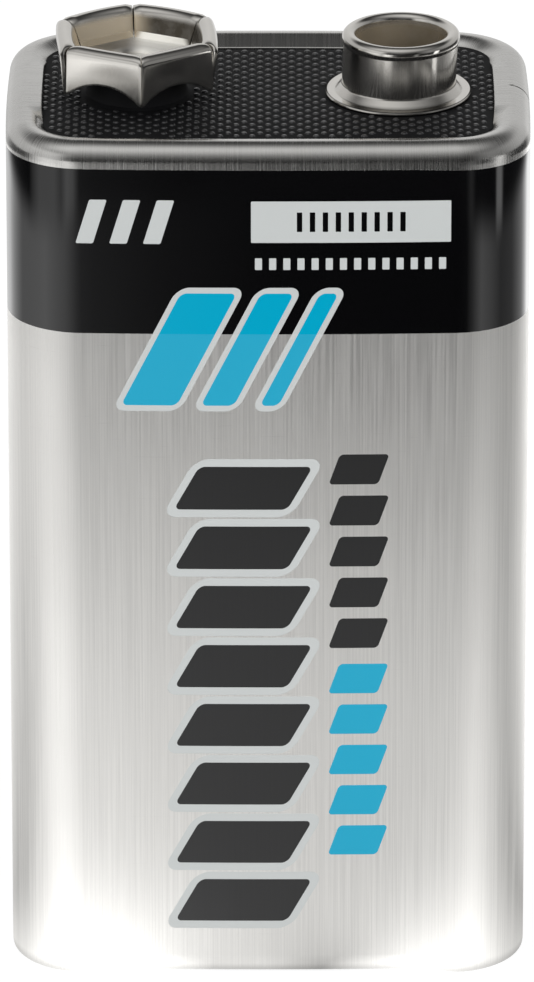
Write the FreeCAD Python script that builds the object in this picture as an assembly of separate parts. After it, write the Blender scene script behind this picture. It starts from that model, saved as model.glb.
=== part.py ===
import FreeCAD, Part
import math
import os

# Nine volt battery: six round cells in series, in a rolled sheet case with two snap terminals on top.
# Millimetres. The origin is the middle of the underside, +Z is up and the printed front faces -Y.

# Case, one folded sheet whose top and bottom edges are rolled inwards
body_width = 25.4
body_depth = 17.3
case_height = 43.6
corner_radius = 3.8
front_arc = 220.0
side_arc = 170.0
case_sheet = 0.35
rim_bend = 1.0
lip_width = 1.3
flap_width = 1.7
flap_half_length = 3.4
flap_end_slope = 0.9
seam_width = 0.08
seam_depth = 0.1

# Plates that close the case
plate_thickness = 0.8
plate_gap = 0.05
boss_radius = 2.4
boss_height = 1.55
boss_foot_round = 0.3

# Liner and the two insulating cards
liner_gap = 0.03
liner_thickness = 0.15
card_thickness = 0.3
card_gap = 0.05
clinch_clearance = 0.15

# Cells. Their can is as wide as the liner and the gaps below leave room for
cell_fit = 0.04
sleeve_thickness = 0.08
sleeve_gap = 0.02
sleeve_lip = 0.5
cell_gap = 0.02
pip_radius = 1.9
pip_height = 0.5
cap_radius = 2.5
cap_height = 0.3
crimp_width = 0.55
crimp_depth = 0.2
can_shoulder = 0.35

# Straps that join the cells in series
strap_thickness = 0.15
strap_width = 3.0

# Snap terminals. Their axes stand in from the short sides, which on this body puts them 12.7 mm apart
terminal_inset = 6.35
terminal_sheet = 0.2
stud_height = 3.35
stud_lip_radius = 2.86
stud_lip_width = 0.64
stud_barrel_radius = 2.785
stud_draft = 0.03
stud_lip_drop = 0.75
stud_lip_taper = 0.3
stud_floor_radius = 2.05
stud_bend = 0.3
stud_lip_bend = 0.2
flange_radius = 3.55
flange_bend = 0.5

# The socket is six petals folded up from a flat floor, rolled outwards and brought down again as skirts
petal_count = 6
socket_turn = 3.6
socket_depth = 1.4
petal_floor_apothem = 2.72
petal_top_apothem = 3.12
skirt_top_apothem = 3.88
skirt_foot_apothem = 3.55
skirt_length = 2.45
petal_roll = 0.33
petal_floor_bend = 0.2
petal_slit = 0.12
arch_rise = 0.75
arch_half_width = 1.85

# Eyelets that rivet the terminals to the plate and hold the leads
eyelet_sheet = 0.15
eyelet_radius = 0.9
eyelet_head_radius = 1.45
eyelet_clearance = 0.03

# Leads from the eyelets to the two end cells
lead_thickness = 0.15
lead_width = 1.8
lead_ring_radius = 1.6
lead_flat = 2.4
lead_foot = 1.9
lead_bend = 0.25
lead_slot_clearance = 0.3

# Levels from the underside up
bottom_plate_level = case_sheet
bottom_card_level = bottom_plate_level + plate_thickness
bottom_strap_level = bottom_card_level + card_thickness
cell_bottom = bottom_strap_level + strap_thickness
plate_top = case_height - case_sheet
plate_bottom = plate_top - plate_thickness
lead_bottom = plate_bottom - lead_thickness
clinch_bottom = lead_bottom - eyelet_sheet
top_card_level = clinch_bottom - clinch_clearance - card_thickness
cell_top = top_card_level - strap_thickness
socket_floor = plate_top + boss_height + terminal_sheet


def sagitta(radius, offset):
    """How far an arc drops at a distance from its middle."""
    return radius - math.sqrt(radius**2 - offset**2)


# Places that follow from the sizes above
terminal_x = body_width / 2 - terminal_inset
eyelet_hole = eyelet_radius + eyelet_clearance
liner_inset = case_sheet + liner_gap
card_inset = liner_inset + liner_thickness + card_gap
cell_inset = liner_inset + liner_thickness + cell_fit
column_pitch = (body_width - 2 * sagitta(side_arc, body_depth / 4) - 2 * cell_inset) / 3
row_pitch = (body_depth - 2 * sagitta(front_arc, body_width / 3) - 2 * cell_inset) / 2
sleeve_outer = (min(column_pitch, row_pitch) - cell_gap) / 2
can_radius = sleeve_outer - sleeve_thickness - sleeve_gap

UP = FreeCAD.Vector(0, 0, 1)
CENTRE = FreeCAD.Vector(0, 0, 0)
CUT_MARGIN = 1.0
SAME = 1e-6


def at(x, y, z=0.0):
    return FreeCAD.Vector(x, y, z)


def is_upright(edge):
    start, end = edge.Vertexes[0], edge.Vertexes[-1]
    in_line = math.hypot(start.X - end.X, start.Y - end.Y) < SAME
    return in_line and abs(start.Z - end.Z) > SAME


def edges_at_level(shape, level):
    return [edge for edge in shape.Edges if all(abs(end.Z - level) < SAME for end in edge.Vertexes)]


def circles(shape, radius, level):
    edges = [edge for edge in edges_at_level(shape, level) if edge.Curve.TypeId == "Part::GeomCircle"]
    return [edge for edge in edges if abs(edge.Curve.Radius - radius) < SAME]


def crowned_block(inset, bottom, top):
    """The body's plan, drawn in by inset: a wide arc on each side and round corners."""
    half_width = body_width / 2 - inset
    half_depth = body_depth / 2 - inset
    long_arc = front_arc - inset
    short_arc = side_arc - inset
    block = Part.makeBox(2 * body_width, 2 * body_depth, top - bottom, at(-body_width, -body_depth, bottom))
    for radius, turn, place in (
        (long_arc, 0, at(0, long_arc - half_depth, bottom)),
        (long_arc, 0, at(0, half_depth - long_arc, bottom)),
        (short_arc, 90, at(short_arc - half_width, 0, bottom)),
        (short_arc, 90, at(half_width - short_arc, 0, bottom)),
    ):
        drum = Part.makeCylinder(radius, top - bottom)
        drum.rotate(CENTRE, UP, turn)
        drum.translate(place)
        block = block.common(drum)
    return block.makeFillet(corner_radius - inset, [edge for edge in block.Edges if is_upright(edge)])


def rolled_block(inset):
    """A closed block as high as the case, less the inset, with its top and bottom edges bent round."""
    block = crowned_block(inset, inset, case_height - inset)
    ends = edges_at_level(block, inset) + edges_at_level(block, case_height - inset)
    return block.makeFillet(rim_bend - inset, ends)


def round_corner(before, corner, after, radius):
    """Start, middle and end of the arc that rounds one corner of a path."""
    back = (before - corner).normalize()
    ahead = (after - corner).normalize()
    half_turn = (math.pi - back.getAngle(ahead)) / 2
    run = radius * math.tan(half_turn)
    middle = corner + (back + ahead).normalize() * (radius / math.cos(half_turn) - radius)
    return corner + back * run, middle, corner + ahead * run


def rounded_path(corners, radii):
    """Straight runs joined by tangent arcs, one radius for each inner corner, None where it is sharp."""
    edges = []
    here = corners[0]
    for index, radius in enumerate(radii, 1):
        if radius is None:
            edges.append(Part.makeLine(here, corners[index]))
            here = corners[index]
            continue
        start, middle, end = round_corner(corners[index - 1], corners[index], corners[index + 1], radius)
        edges.append(Part.makeLine(here, start))
        edges.append(Part.Arc(start, middle, end).toShape())
        here = end
    edges.append(Part.makeLine(here, corners[-1]))
    return edges


def beside(corners, distance):
    """Corners of a path that runs beside another in the XZ plane, and which way each corner turns."""
    runs = [(b - a).normalize() for a, b in zip(corners, corners[1:])]
    sides = [at(-run.z, 0, run.x) for run in runs]
    moved = [corners[0] + sides[0] * distance]
    senses = []
    for index, corner in enumerate(corners[1:-1]):
        bisector = (sides[index] + sides[index + 1]).normalize()
        moved.append(corner + bisector * (distance / bisector.dot(sides[index])))
        senses.append(math.copysign(1, runs[index].x * runs[index + 1].z - runs[index].z * runs[index + 1].x))
    moved.append(corners[-1] + sides[-1] * distance)
    return moved, senses


def folded_strip(points, bends, thickness):
    """Cross-section of a bent sheet, as a face. points are (u, z) along its middle, bends its radii there."""
    corners = [at(u, 0, z) for u, z in points]
    edges = []
    ends = []
    for distance in (thickness / 2, -thickness / 2):
        moved, senses = beside(corners, distance)
        radii = [bend and bend - sense * distance for bend, sense in zip(bends, senses)]
        edges += rounded_path(moved, radii)
        ends.append((moved[0], moved[-1]))
    edges.append(Part.makeLine(ends[0][0], ends[1][0]))
    edges.append(Part.makeLine(ends[0][1], ends[1][1]))
    return Part.Face(Part.Wire(Part.__sortEdges__(edges)))


def turned(face):
    return face.revolve(CENTRE, UP, 360)


def turned_outline(points):
    """A body of revolution from the (radius, z) corners of its section."""
    corners = [at(radius, 0, z) for radius, z in points]
    return turned(Part.Face(Part.makePolygon(corners + corners[:1])))


def disc(radius, bottom, height, x=0.0, y=0.0):
    return Part.makeCylinder(radius, height, at(x, y, bottom))


def prism(points, bottom, height):
    corners = [at(x, y, bottom) for x, y in points]
    return Part.Face(Part.makePolygon(corners + corners[:1])).extrude(UP * height)


def window(bottom, height):
    """Hole that a rolled edge leaves: narrow lips, and a wider flap with sloping ends on each short side."""
    hole = crowned_block(lip_width, bottom, bottom + height)
    edge = body_width / 2 - flap_width
    root = edge + flap_end_slope
    root_length = flap_half_length + flap_end_slope
    flap = prism(
        [(edge, -flap_half_length), (root, -root_length), (root, root_length), (edge, flap_half_length)],
        bottom - CUT_MARGIN,
        height + 2 * CUT_MARGIN,
    )
    for turn in (0, 180):
        side = flap.copy()
        side.rotate(CENTRE, UP, turn)
        hole = hole.cut(side)
    return hole


def case():
    """Printed sheet jacket with its lap seam in the middle of the right short side."""
    shell = rolled_block(0).cut(rolled_block(case_sheet))
    lip = case_sheet + 2 * CUT_MARGIN
    shell = shell.cut(window(-CUT_MARGIN, lip))
    shell = shell.cut(window(case_height - case_sheet - CUT_MARGIN, lip))
    slab = Part.makeBox(body_width, seam_width, case_height, at(body_width / 4, -seam_width / 2, 0))
    return shell.cut(slab.cut(rolled_block(seam_depth)))


def plate(level, bevelled_level):
    """A moulded plate that fills the case's plan, bevelled to nest in the bend of one rolled edge."""
    block = crowned_block(case_sheet + plate_gap, level, level + plate_thickness)
    return block.makeChamfer(rim_bend - case_sheet, edges_at_level(block, bevelled_level))


def top_plate():
    """Black plate under the upper rolled edge, with the round boss that the socket stands on."""
    board = plate(plate_bottom, plate_top)
    boss = disc(boss_radius, plate_top, boss_height, -terminal_x)
    board = board.fuse(boss).removeSplitter()
    board = board.makeFillet(boss_foot_round, circles(board, boss_radius, plate_top))
    for x in (-terminal_x, terminal_x):
        board = board.cut(disc(eyelet_hole, plate_bottom - CUT_MARGIN, case_height, x))
    return board


def bottom_plate():
    """Plate that closes the underside."""
    return plate(bottom_plate_level, bottom_plate_level)


def petal():
    """One side of the socket, facing +X: floor, inner wall, rolled top and skirt with an arched foot."""
    middle = terminal_sheet / 2
    rim = socket_floor + socket_depth - middle
    face = folded_strip(
        [
            (boss_radius - petal_floor_bend, socket_floor - middle),
            (petal_floor_apothem, socket_floor - middle),
            (petal_top_apothem, rim),
            (skirt_top_apothem - middle, rim),
            (skirt_foot_apothem - middle, socket_floor + socket_depth - skirt_length),
        ],
        [petal_floor_bend, petal_roll, petal_roll],
        terminal_sheet,
    )
    reach = 2 * skirt_top_apothem
    strip = face.extrude(at(0, reach, 0))
    strip.translate(at(0, -reach / 2))
    half_angle = math.pi / petal_count
    apex = petal_slit / 2 / math.sin(half_angle)
    spread = (reach - apex) * math.tan(half_angle)
    wedge = prism([(apex, 0), (reach, -spread), (reach, spread)], plate_bottom, case_height)
    arch_radius = (arch_half_width**2 + arch_rise**2) / (2 * arch_rise)
    foot = socket_floor + socket_depth - skirt_length
    arch_centre = at(petal_top_apothem, 0, foot + arch_rise - arch_radius)
    arch = Part.makeCylinder(arch_radius, reach, arch_centre, at(1, 0))
    return strip.common(wedge).cut(arch)


def negative_terminal():
    """Snap socket, folded from one sheet."""
    half_angle = math.pi / petal_count
    floor_corner = (petal_floor_apothem - petal_floor_bend) / math.cos(half_angle)
    corners = [
        (floor_corner * math.cos(angle), floor_corner * math.sin(angle))
        for angle in (half_angle * (2 * index + 1) for index in range(petal_count))
    ]
    socket = prism(corners, socket_floor - terminal_sheet, terminal_sheet)
    for index in range(petal_count):
        side = petal()
        side.rotate(CENTRE, UP, 360 / petal_count * index)
        socket = socket.fuse(side)
    socket = socket.cut(disc(eyelet_hole, plate_top, case_height))
    socket = socket.removeSplitter()
    socket.rotate(CENTRE, UP, socket_turn)
    socket.translate(at(-terminal_x, 0))
    return socket


def positive_terminal():
    """Snap stud, drawn from one sheet: floor, inner wall, rolled lip, slightly tapered barrel and flange."""
    middle = terminal_sheet / 2
    top = plate_top + stud_height - middle
    lip = stud_lip_radius - middle
    barrel = stud_barrel_radius - middle
    lip_foot = plate_top + stud_height - stud_lip_drop
    stud = turned(
        folded_strip(
            [
                (eyelet_hole, plate_top + middle),
                (stud_floor_radius, plate_top + middle),
                (stud_lip_radius - stud_lip_width + middle, top),
                (lip, top),
                (lip, lip_foot),
                (barrel, lip_foot - stud_lip_taper),
                (barrel + stud_draft, plate_top + middle),
                (flange_radius, plate_top + middle),
            ],
            [stud_bend, stud_lip_bend, stud_lip_bend, None, None, flange_bend],
            terminal_sheet,
        )
    )
    stud.translate(at(terminal_x, 0))
    return stud


def eyelet(x, seat):
    """Hollow rivet: head on the terminal's floor, barrel through the plate and clinched end below."""
    bore = eyelet_radius - eyelet_sheet
    top = seat + eyelet_sheet
    rivet = turned_outline(
        [
            (bore, clinch_bottom),
            (eyelet_head_radius, clinch_bottom),
            (eyelet_head_radius, clinch_bottom + eyelet_sheet),
            (eyelet_radius, clinch_bottom + eyelet_sheet),
            (eyelet_radius, seat),
            (eyelet_head_radius, seat),
            (eyelet_head_radius, top),
            (bore, top),
        ]
    )
    rivet.translate(at(x, 0))
    return rivet


def lead_direction():
    """Angle and distance, seen from above, from the negative terminal's axis to the first cell's."""
    dx = terminal_x - column_pitch
    dy = -row_pitch / 2
    return math.degrees(math.atan2(dy, dx)), math.hypot(dx, dy)


def lead():
    """Nickel ribbon with a ring under the plate and a foot on the cell, lying along +X from the eyelet."""
    distance = lead_direction()[1]
    middle = lead_thickness / 2
    ring_level = lead_bottom + middle
    foot_level = cell_top + middle
    foot_start = distance - lead_foot / 2
    foot_end = distance + lead_foot / 2
    ribbon = folded_strip(
        [(0, ring_level), (lead_flat, ring_level), (foot_start, foot_level), (foot_end, foot_level)],
        [lead_bend, lead_bend],
        lead_thickness,
    ).extrude(at(0, lead_width, 0))
    ribbon.translate(at(0, -lead_width / 2))
    ring = disc(lead_ring_radius, lead_bottom, lead_thickness)
    hole = disc(eyelet_hole, lead_bottom - CUT_MARGIN, 2 * CUT_MARGIN)
    return ribbon.fuse(ring).cut(hole).removeSplitter()


def placed_on_terminal(shape, sign):
    """Turns a piece made along +X towards its end cell: sign is -1 at the socket and 1 at the stud."""
    angle = lead_direction()[0]
    shape.rotate(CENTRE, UP, angle if sign < 0 else angle + 180)
    shape.translate(at(sign * terminal_x, 0))
    return shape


def top_card():
    """Insulating card over the cells, with a slot for each lead."""
    card = crowned_block(card_inset, top_card_level, top_card_level + card_thickness)
    distance = lead_direction()[1]
    width = lead_width + 2 * lead_slot_clearance
    start = lead_flat - lead_slot_clearance
    length = distance + lead_foot / 2 + lead_slot_clearance - start
    place = at(start, -width / 2, top_card_level - CUT_MARGIN / 2)
    for sign in (-1, 1):
        slot = Part.makeBox(length, width, 2 * CUT_MARGIN, place)
        card = card.cut(placed_on_terminal(slot, sign))
    return card


def bottom_card():
    return crowned_block(card_inset, bottom_card_level, bottom_card_level + card_thickness)


def liner():
    """Thin wrap between the case and the cells, standing between the two plates."""
    outside = crowned_block(liner_inset, bottom_card_level, plate_bottom)
    return outside.cut(crowned_block(liner_inset + liner_thickness, bottom_card_level, plate_bottom))


def cell(x, y, positive_up):
    """Sealed cell: a can with a pip at the positive end, and a crimped edge round a cap at the other."""
    length = cell_top - cell_bottom
    can_foot = cap_height - crimp_depth
    shoulder = length - pip_height
    crimp_inner = can_radius - crimp_width
    body = turned_outline(
        [
            (0, 0),
            (cap_radius, 0),
            (cap_radius, cap_height + crimp_depth),
            (crimp_inner, cap_height + crimp_depth),
            (crimp_inner, can_foot),
            (can_radius, can_foot),
            (can_radius, shoulder - can_shoulder),
            (can_radius - can_shoulder, shoulder),
            (pip_radius, shoulder),
            (pip_radius, length),
            (0, length),
        ]
    )
    if not positive_up:
        body.rotate(at(0, 0, length / 2), at(1, 0), 180)
    body.translate(at(x, y, cell_bottom))
    return body


def cell_sleeve(x, y, positive_up):
    """Shrunk film round the can, turned in over both of its ends."""
    length = cell_top - cell_bottom
    inner = can_radius + sleeve_gap
    outer = inner + sleeve_thickness
    mouth = can_radius - sleeve_lip
    low = cap_height - crimp_depth - sleeve_gap
    high = length - pip_height + sleeve_gap
    film = turned_outline(
        [
            (mouth, low - sleeve_thickness),
            (outer, low - sleeve_thickness),
            (outer, high + sleeve_thickness - can_shoulder),
            (outer - can_shoulder, high + sleeve_thickness),
            (mouth, high + sleeve_thickness),
            (mouth, high),
            (inner - can_shoulder, high),
            (inner, high - can_shoulder),
            (inner, low),
            (mouth, low),
        ]
    )
    if not positive_up:
        film.rotate(at(0, 0, length / 2), at(1, 0), 180)
    film.translate(at(x, y, cell_bottom))
    return film


def strap(start, end, level):
    """Welded nickel strip with round ends, from the axis of one cell to that of the next."""
    (x1, y1), (x2, y2) = start, end
    angle = math.degrees(math.atan2(y2 - y1, x2 - x1))
    distance = math.hypot(x2 - x1, y2 - y1)
    strip = Part.makeBox(distance, strap_width, strap_thickness, at(0, -strap_width / 2))
    for x in (0, distance):
        strip = strip.fuse(disc(strap_width / 2, 0, strap_thickness, x))
    strip = strip.removeSplitter()
    strip.rotate(CENTRE, UP, angle)
    strip.translate(at(x1, y1, level))
    return strip


def cell_places():
    """The snake that the current takes: two cells in each of three columns."""
    left, middle, right = -column_pitch, 0, column_pitch
    front, back = -row_pitch / 2, row_pitch / 2
    return [(left, front), (left, back), (middle, back), (middle, front), (right, front), (right, back)]


def pieces():
    """Every piece of the battery by name."""
    made = {
        "case": case(),
        "top_plate": top_plate(),
        "bottom_plate": bottom_plate(),
        "negative_terminal": negative_terminal(),
        "positive_terminal": positive_terminal(),
        "negative_eyelet": eyelet(-terminal_x, socket_floor),
        "positive_eyelet": eyelet(terminal_x, plate_top + terminal_sheet),
        "negative_lead": placed_on_terminal(lead(), -1),
        "positive_lead": placed_on_terminal(lead(), 1),
        "top_card": top_card(),
        "bottom_card": bottom_card(),
        "liner": liner(),
    }
    places = cell_places()
    for number, (x, y) in enumerate(places, 1):
        positive_up = number % 2 == 0
        made[f"cell_{number}"] = cell(x, y, positive_up)
        made[f"cell_sleeve_{number}"] = cell_sleeve(x, y, positive_up)
    for number, (start, end) in enumerate(zip(places, places[1:]), 1):
        level = bottom_strap_level if number % 2 else cell_top
        made[f"strap_{number}_{number + 1}"] = strap(start, end, level)
    return made


os.makedirs("parts", exist_ok=True)
for name, shape in pieces().items():
    shape.exportStep(os.path.join("parts", name + ".step"))
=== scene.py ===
import math

import bmesh
import bpy
from mathutils import Matrix, Vector


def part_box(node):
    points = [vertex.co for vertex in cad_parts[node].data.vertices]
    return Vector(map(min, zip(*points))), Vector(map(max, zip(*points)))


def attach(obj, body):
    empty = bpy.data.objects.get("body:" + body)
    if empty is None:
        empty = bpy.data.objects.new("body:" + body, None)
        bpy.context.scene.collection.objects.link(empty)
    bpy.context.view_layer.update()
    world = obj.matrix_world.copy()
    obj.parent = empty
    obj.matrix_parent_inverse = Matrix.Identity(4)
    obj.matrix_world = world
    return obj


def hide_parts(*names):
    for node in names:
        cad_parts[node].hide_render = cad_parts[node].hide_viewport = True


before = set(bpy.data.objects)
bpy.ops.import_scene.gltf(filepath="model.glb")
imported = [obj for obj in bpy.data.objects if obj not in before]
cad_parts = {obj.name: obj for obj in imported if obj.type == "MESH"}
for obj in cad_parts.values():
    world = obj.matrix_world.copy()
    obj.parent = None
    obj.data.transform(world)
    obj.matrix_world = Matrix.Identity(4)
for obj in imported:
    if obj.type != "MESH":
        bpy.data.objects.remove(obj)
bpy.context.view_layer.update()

bl_info = {
    "name": "Nine volt battery",
    "version": (1, 0, 0),
    "blender": (4, 5, 0),
    "location": "3D View > Sidebar > Battery",
    "description": "Builds the visible pieces of a nine volt battery round its packed solids",
    "category": "Object",
}

# Everything is modelled in millimetres and written to the meshes in metres.
MM = 0.001
BODY = "root"


def low_corner(node):
    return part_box(node)[0] / MM


def high_corner(node):
    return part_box(node)[1] / MM


CASE_TOP = high_corner("case").z
HALF_WIDTH = high_corner("case").x
HALF_DEPTH = high_corner("case").y
PLATE_BOTTOM = low_corner("top_plate").z
PLATE_TOP = low_corner("positive_terminal").z
STUD_X = (low_corner("positive_terminal").x + high_corner("positive_terminal").x) / 2
STUD_TOP = high_corner("positive_terminal").z
SOCKET_TOP = high_corner("negative_terminal").z
SOCKET_X = -STUD_X

# Sizes that two pieces share
SOCKET_FLOOR = SOCKET_TOP - 1.4
FLANGE_RADIUS = 3.55
RIVET_HOLE = 0.93

# Plan of the case: a wide arc on each side and round corners
FRONT_ARC = 220.0
SIDE_ARC = 170.0
CORNER_RADIUS = 3.8

LENGTH = {"subtype": "DISTANCE", "unit": "LENGTH"}


def length(name, description, millimetres):
    """A size that a user may change, held in metres."""
    return bpy.props.FloatProperty(
        name=name, description=description, default=millimetres * MM, min=0.0, precision=5, **LENGTH
    )


def angle(name, description, degrees):
    return bpy.props.FloatProperty(
        name=name, description=description, default=math.radians(degrees), subtype="ANGLE", unit="ROTATION"
    )


def colour(name, description, red, green, blue):
    return bpy.props.FloatVectorProperty(
        name=name, description=description, default=(red, green, blue), size=3, min=0.0, max=1.0,
        subtype="COLOR",
    )


def share(name, description, value):
    return bpy.props.FloatProperty(
        name=name, description=description, default=value, min=0.0, max=1.0, subtype="FACTOR"
    )


class BATTERY_PG_case(bpy.types.PropertyGroup):
    """Sizes of the rolled sheet case."""

    sheet: length("Sheet", "Thickness of the sheet", 0.35)
    rim_bend: length("Rim bend", "Outer radius of the rolled upper edge", 1.0)
    foot_bend: length("Foot bend", "Outer radius of the lower edge on the straight sides", 1.15)
    foot_corner_bend: length("Foot corner bend", "Outer radius of the lower edge at the corners", 0.45)
    long_lip: length("Long lip", "How far the lip reaches in on the front", 1.92)
    back_lip: length("Back lip", "How much further the lip reaches in on the back", 0.35)
    corner_lip: length("Corner lip", "How far the lip reaches in at the corners", 1.9)
    flap: length("Flap", "How far the flap reaches in on the short sides", 1.75)
    lip_slope: angle("Lip slope", "How far the long lips slope down inwards", 19.0)
    corner_slope: angle("Corner slope", "How far the corner lips roll down inwards", 58.0)
    flap_slope: angle("Flap slope", "How far the flaps slope down inwards", 3.0)
    seam_depth: length("Seam depth", "Depth of the lap seam on the right side", 0.1)


class BATTERY_PG_print(bpy.types.PropertyGroup):
    """Sizes and colours of the case's finish and print."""

    band_low: length("Band foot", "Lower edge of the black band", 34.0)
    band_high: length("Band top", "Upper edge of the black band", 42.42)
    band_fall: length("Band fall", "How much lower the band's top is at its right end", 0.12)
    metal: colour("Metal", "Bare brushed sheet", 0.80, 0.79, 0.765)
    black: colour("Black", "Black lacquer", 0.002, 0.002, 0.0024)
    white: colour("White", "White print", 0.62, 0.645, 0.64)
    accent: colour("Accent", "Blue print", 0.0, 0.40, 0.62)


class BATTERY_PG_plate(bpy.types.PropertyGroup):
    """Sizes and colours of the top plate."""

    border: length("Border", "How far the lowered border reaches past the lip", 0.08)
    border_drop: length("Border drop", "How far the border lies under the field", 0.4)
    bump_pitch: length("Bump pitch", "Distance between bumps of one row", 0.77)
    bump_radius: length("Bump radius", "Radius of one bump", 0.14)
    bump_height: length("Bump height", "Height of one bump", 0.07)
    boss_radius: length("Boss radius", "Radius of the boss that carries the socket", 2.4)
    plastic: colour("Plastic", "Black moulded plastic", 0.011, 0.011, 0.012)


class BATTERY_PG_terminals(bpy.types.PropertyGroup):
    """Sizes and colour of the two snap terminals."""

    sheet: length("Sheet", "Thickness of the terminals' sheet", 0.2)
    slit: length("Slit", "Gap between two petals", 0.045)
    arch_rise: length("Arch rise", "Height of the arch under each petal", 0.75)
    socket_turn: angle("Socket turn", "Turn of the socket about its axis", 3.6)
    stud_lean: length("Stud lean", "How far the top of the stud leans to the right", 0.14)
    nickel: colour("Nickel", "Bright nickel plate", 0.80, 0.775, 0.73)
    # Brown inside the terminals: partly tarnish, partly painted shade.
    tarnish_and_shade: colour("Tarnish", "Dull brown metal inside the terminals", 0.56, 0.48, 0.36)


class BATTERY_PG_stage(bpy.types.PropertyGroup):
    """Camera and light."""

    camera_rise: angle("Camera rise", "Elevation of the camera", 22.17)
    camera_distance: length("Camera distance", "Distance from the camera to its target", 546.58)
    camera_lens: bpy.props.FloatProperty(
        name="Lens", description="Focal length", default=406.89, subtype="DISTANCE_CAMERA"
    )
    room: share("Room", "Level of the light from all round", 0.45)
    lamp: bpy.props.FloatProperty(
        name="Lamps", description="Power of each front lamp", default=1.25, unit="POWER"
    )


def settings(name):
    return getattr(bpy.context.scene, "battery_" + name)


def mm(group, name):
    return getattr(group, name) / MM


# Small helpers


def eased(value, start, end):
    """Runs smoothly from 0 at start to 1 at end."""
    t = min(max((value - start) / (end - start), 0.0), 1.0)
    return t * t * (3 - 2 * t)


def mixed(first, second, part):
    """Goes from the first number to the second as part goes from 0 to 1."""
    return first + (second - first) * part


def new_material(name):
    material = bpy.data.materials.get(name) or bpy.data.materials.new(name)
    material.use_nodes = True
    material.node_tree.nodes.clear()
    return material


class Wiring:
    """Adds nodes to a tree, one call for each."""

    def __init__(self, tree):
        self.tree = tree

    def add(self, kind, inputs=(), **options):
        node = self.tree.nodes.new(kind)
        for key, value in options.items():
            setattr(node, key, value)
        for key, value in dict(inputs).items():
            self.feed(node.inputs[key], value)
        return node

    def feed(self, socket, value):
        if isinstance(value, bpy.types.NodeSocket):
            self.tree.links.new(value, socket)
        else:
            socket.default_value = value

    def math(self, operation, *values, clamp=False):
        node = self.add("ShaderNodeMath", enumerate(values), operation=operation, use_clamp=clamp)
        return node.outputs[0]

    def blend(self, factor, first, second):
        """Mixes two colours, each a socket or three numbers."""
        node = self.add("ShaderNodeMix", data_type="RGBA")
        for socket, value in ((node.inputs[0], factor), (node.inputs[6], first), (node.inputs[7], second)):
            self.feed(socket, value if isinstance(value, (bpy.types.NodeSocket, float, int)) else (*value, 1.0))
        return node.outputs[2]

    def ease(self, value, start, end, low=0.0, high=1.0):
        """Smooth step of a value from low at start to high at end."""
        return self.add(
            "ShaderNodeMapRange",
            {0: value, 1: start, 2: end, 3: low, 4: high},
            interpolation_type="SMOOTHSTEP",
        ).outputs[0]

    def between(self, value, low, high):
        return self.math("MULTIPLY", self.math("GREATER_THAN", value, low), self.math("LESS_THAN", value, high))

    def product(self, *values):
        result = values[0]
        for value in values[1:]:
            result = self.math("MULTIPLY", result, value)
        return result

    def length(self, x, y):
        """Distance over two sides that stand square."""
        return self.math("SQRT", self.math("ADD", self.product(x, x), self.product(y, y)))

    def choose(self, factor, first, second):
        """Mixes two numbers, each a socket or plain."""
        return self.add("ShaderNodeMix", {0: factor, 2: first, 3: second}).outputs[0]

    def split(self, vector):
        return self.add("ShaderNodeSeparateXYZ", {0: vector}).outputs

    def place(self, scale=(1.0, 1.0, 1.0)):
        """Object coordinates in millimetres, stretched."""
        coordinates = self.add("ShaderNodeTexCoord").outputs["Object"]
        scale = [value / MM for value in scale]
        return self.add("ShaderNodeMapping", {"Vector": coordinates, "Scale": scale}).outputs[0]

    def noise(self, scale, detail=2.0, stretch=(1.0, 1.0, 1.0), roughness=0.5, vector=None):
        """Noise on Object coordinates, or on the vector that is given."""
        if vector:
            vector = self.add("ShaderNodeMapping", {"Vector": vector, "Scale": stretch}).outputs[0]
        else:
            vector = self.place(stretch)
        return self.add(
            "ShaderNodeTexNoise", {"Vector": vector, "Scale": scale, "Detail": detail, "Roughness": roughness}
        ).outputs[0]

    def bump(self, height, distance, strength=1.0, normal=None):
        inputs = {"Height": height, "Distance": distance * MM, "Strength": strength}
        if normal:
            inputs["Normal"] = normal
        return self.add("ShaderNodeBump", inputs).outputs[0]


def surface(name, **sockets):
    """A material of one Principled surface. Call with its sockets, spaces written as underscores."""
    material = new_material(name)
    wiring = Wiring(material.node_tree)
    shader = wiring.add("ShaderNodeBsdfPrincipled")
    output = wiring.add("ShaderNodeOutputMaterial")
    wiring.tree.links.new(shader.outputs[0], output.inputs["Surface"])
    for key, value in sockets.items():
        wiring.feed(shader.inputs[key.replace("_", " ")], value)
    return material, wiring, shader


def write_piece(bm, name, finish, nodes, crease=35.0):
    """Makes a piece of a bmesh in millimetres. It rides on the battery and stands for its CAD nodes."""
    bmesh.ops.scale(bm, vec=(MM, MM, MM), verts=bm.verts)
    mesh = bpy.data.meshes.new(name)
    bm.to_mesh(mesh)
    bm.free()
    mesh.materials.append(finish)
    mesh.shade_smooth()
    mesh.set_sharp_from_angle(angle=math.radians(crease))
    piece = bpy.data.objects.new(name, mesh)
    bpy.context.scene.collection.objects.link(piece)
    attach(piece, BODY)
    if nodes:
        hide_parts(*nodes)
    return piece


# Plan of the case


def corner_centre():
    """Where the corner's circle touches the wide arcs of the back and of the right side."""
    back = Vector((0.0, HALF_DEPTH - FRONT_ARC))
    side = Vector((HALF_WIDTH - SIDE_ARC, 0.0))
    back_reach = FRONT_ARC - CORNER_RADIUS
    side_reach = SIDE_ARC - CORNER_RADIUS
    between = side - back
    apart = between.length
    along = (back_reach**2 - side_reach**2 + apart**2) / (2 * apart)
    off = math.sqrt(back_reach**2 - along**2)
    run = between / apart
    foot = back + run * along
    choices = [foot + Vector((-run.y, run.x)) * sign * off for sign in (1, -1)]
    return max(choices, key=lambda point: point.x + point.y)


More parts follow.
